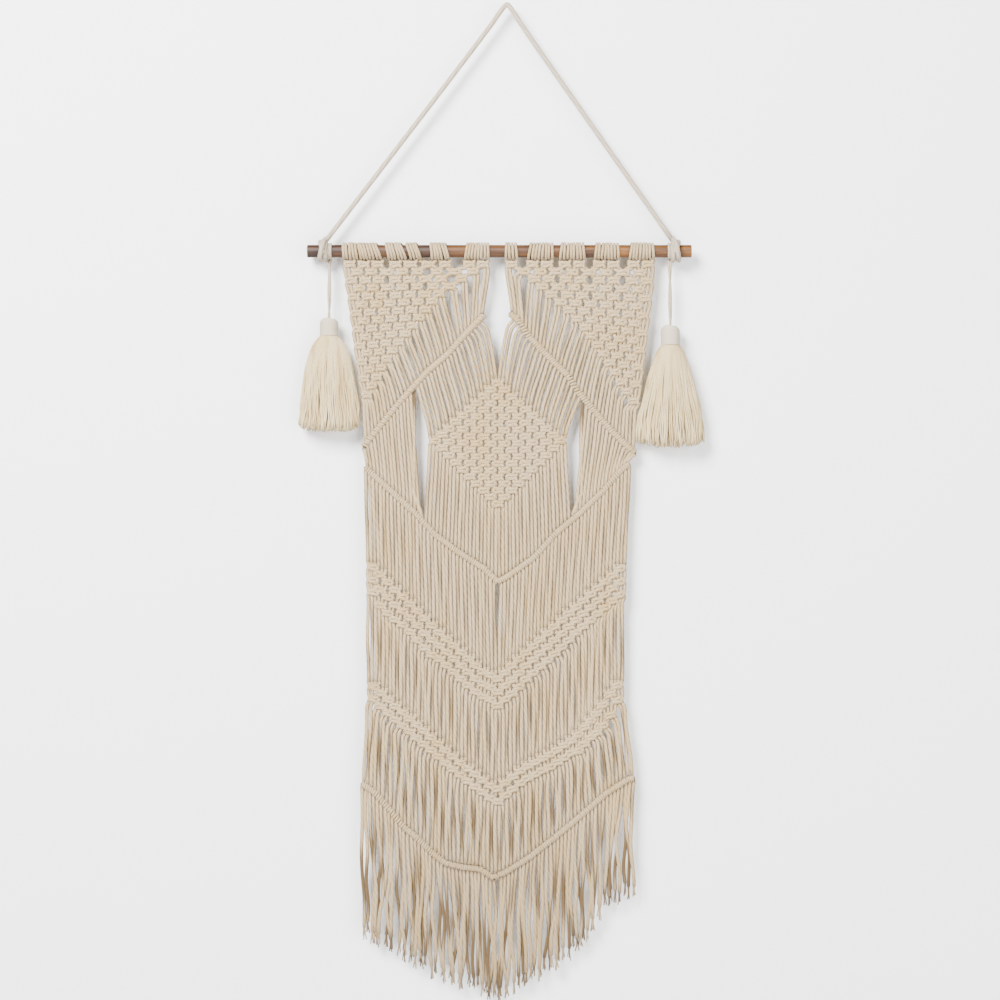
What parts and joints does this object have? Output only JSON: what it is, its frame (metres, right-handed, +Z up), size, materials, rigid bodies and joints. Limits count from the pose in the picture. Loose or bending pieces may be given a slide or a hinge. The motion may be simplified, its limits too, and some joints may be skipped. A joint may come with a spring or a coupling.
{
  "type": "macrame wall hanging",
  "caption": "Knotted cotton cord wall hanging on a wood dowel with a hanging cord, chevron bands, a pointed fringe and a tassel at each end.",
  "frame": {"origin": "where the hanging cord bears on the wall nail", "axes": "+Z up, -Y the front that faces the room, +X to the viewer's right"},
  "size_m": [0.4126, 0.0274, 1.013],
  "materials": {
    "wood": "satin",
    "hanging_cord": "matte",
    "knotting_cord": "matte",
    "tassel_cord": "matte",
    "tassel_thread": "matte",
    "tassel_yarn": "matte"
  },
  "bodies": {
    "hanger": {"hanging_cord": "hanging_cord", "hanger_knot_left": "hanging_cord", "hanger_knot_right": "hanging_cord"},
    "dowel": {"dowel": "wood"},
    "panel_upper": {"larks_heads_left": "knotting_cord", "larks_heads_right": "knotting_cord", "diamond_net": "knotting_cord", "upper_net_left": "knotting_cord", "upper_net_right": "knotting_cord", "upper_strands_left": "knotting_cord", "upper_strands_right": "knotting_cord", "hitch_line_left": "knotting_cord", "hitch_line_right": "knotting_cord", "side_strands_left": "knotting_cord", "side_strands_right": "knotting_cord", "diamond_upper_strands_left": "knotting_cord", "diamond_upper_strands_right": "knotting_cord", "diamond_lower_strands_left": "knotting_cord", "diamond_lower_strands_right": "knotting_cord", "chevron_1_left": "knotting_cord", "chevron_1_right": "knotting_cord", "span_1_upper_left": "knotting_cord", "span_1_upper_right": "knotting_cord"},
    "panel_middle": {"span_1_lower_left": "knotting_cord", "span_1_lower_right": "knotting_cord", "chevron_2_left": "knotting_cord", "chevron_2_right": "knotting_cord", "span_2_left": "knotting_cord", "span_2_right": "knotting_cord", "chevron_3_left": "knotting_cord", "chevron_3_right": "knotting_cord", "span_3_upper_left": "knotting_cord", "span_3_upper_right": "knotting_cord"},
    "panel_lower": {"span_3_lower_left": "knotting_cord", "span_3_lower_right": "knotting_cord", "chevron_4_left": "knotting_cord", "chevron_4_right": "knotting_cord", "fringe_left": "knotting_cord", "fringe_right": "knotting_cord"},
    "tassel_cord_left": {"tassel_cord_left": "tassel_cord"},
    "tassel_left": {"tassel_cord_end_left": "tassel_cord", "tassel_cap_left": "tassel_thread", "tassel_core_left": "tassel_yarn", "tassel_skirt_left": "tassel_yarn"},
    "tassel_cord_right": {"tassel_cord_right": "tassel_cord"},
    "tassel_right": {"tassel_cord_end_right": "tassel_cord", "tassel_cap_right": "tassel_thread", "tassel_core_right": "tassel_yarn", "tassel_skirt_right": "tassel_yarn"}
  },
  "joints": [
    {"name": "dowel_roll", "type": "hinge", "parent": "hanger", "child": "dowel", "pos_m": [0, 0, -0.247], "axis": [1, 0, 0], "continuous": true},
    {"name": "panel_swing", "type": "hinge", "parent": "hanger", "child": "panel_upper", "pos_m": [0, 0, -0.247], "axis": [-1, 0, 0], "range_deg": [0, 90]},
    {"name": "panel_upper_fold", "type": "hinge", "parent": "panel_upper", "child": "panel_middle", "pos_m": [0, -0.0035, -0.5735], "axis": [-1, 0, 0], "range_deg": [0, 90]},
    {"name": "panel_lower_fold", "type": "hinge", "parent": "panel_middle", "child": "panel_lower", "pos_m": [0, -0.0035, -0.79575], "axis": [-1, 0, 0], "range_deg": [0, 90]},
    {"name": "tassel_cord_left_swing", "type": "hinge", "parent": "hanger", "child": "tassel_cord_left", "pos_m": [0, 0, -0.247], "axis": [-1, 0, 0], "range_deg": [0, 90]},
    {"name": "tassel_left_swing", "type": "hinge", "parent": "tassel_cord_left", "child": "tassel_left", "pos_m": [-0.18082, 0, -0.3124], "axis": [0, 1, 0], "range_deg": [0, 45]},
    {"name": "tassel_cord_right_swing", "type": "hinge", "parent": "hanger", "child": "tassel_cord_right", "pos_m": [0, 0, -0.247], "axis": [-1, 0, 0], "range_deg": [0, 90]},
    {"name": "tassel_right_swing", "type": "hinge", "parent": "tassel_cord_right", "child": "tassel_right", "pos_m": [0.16603, 0, -0.3197], "axis": [0, -1, 0], "range_deg": [0, 45]}
  ]
}
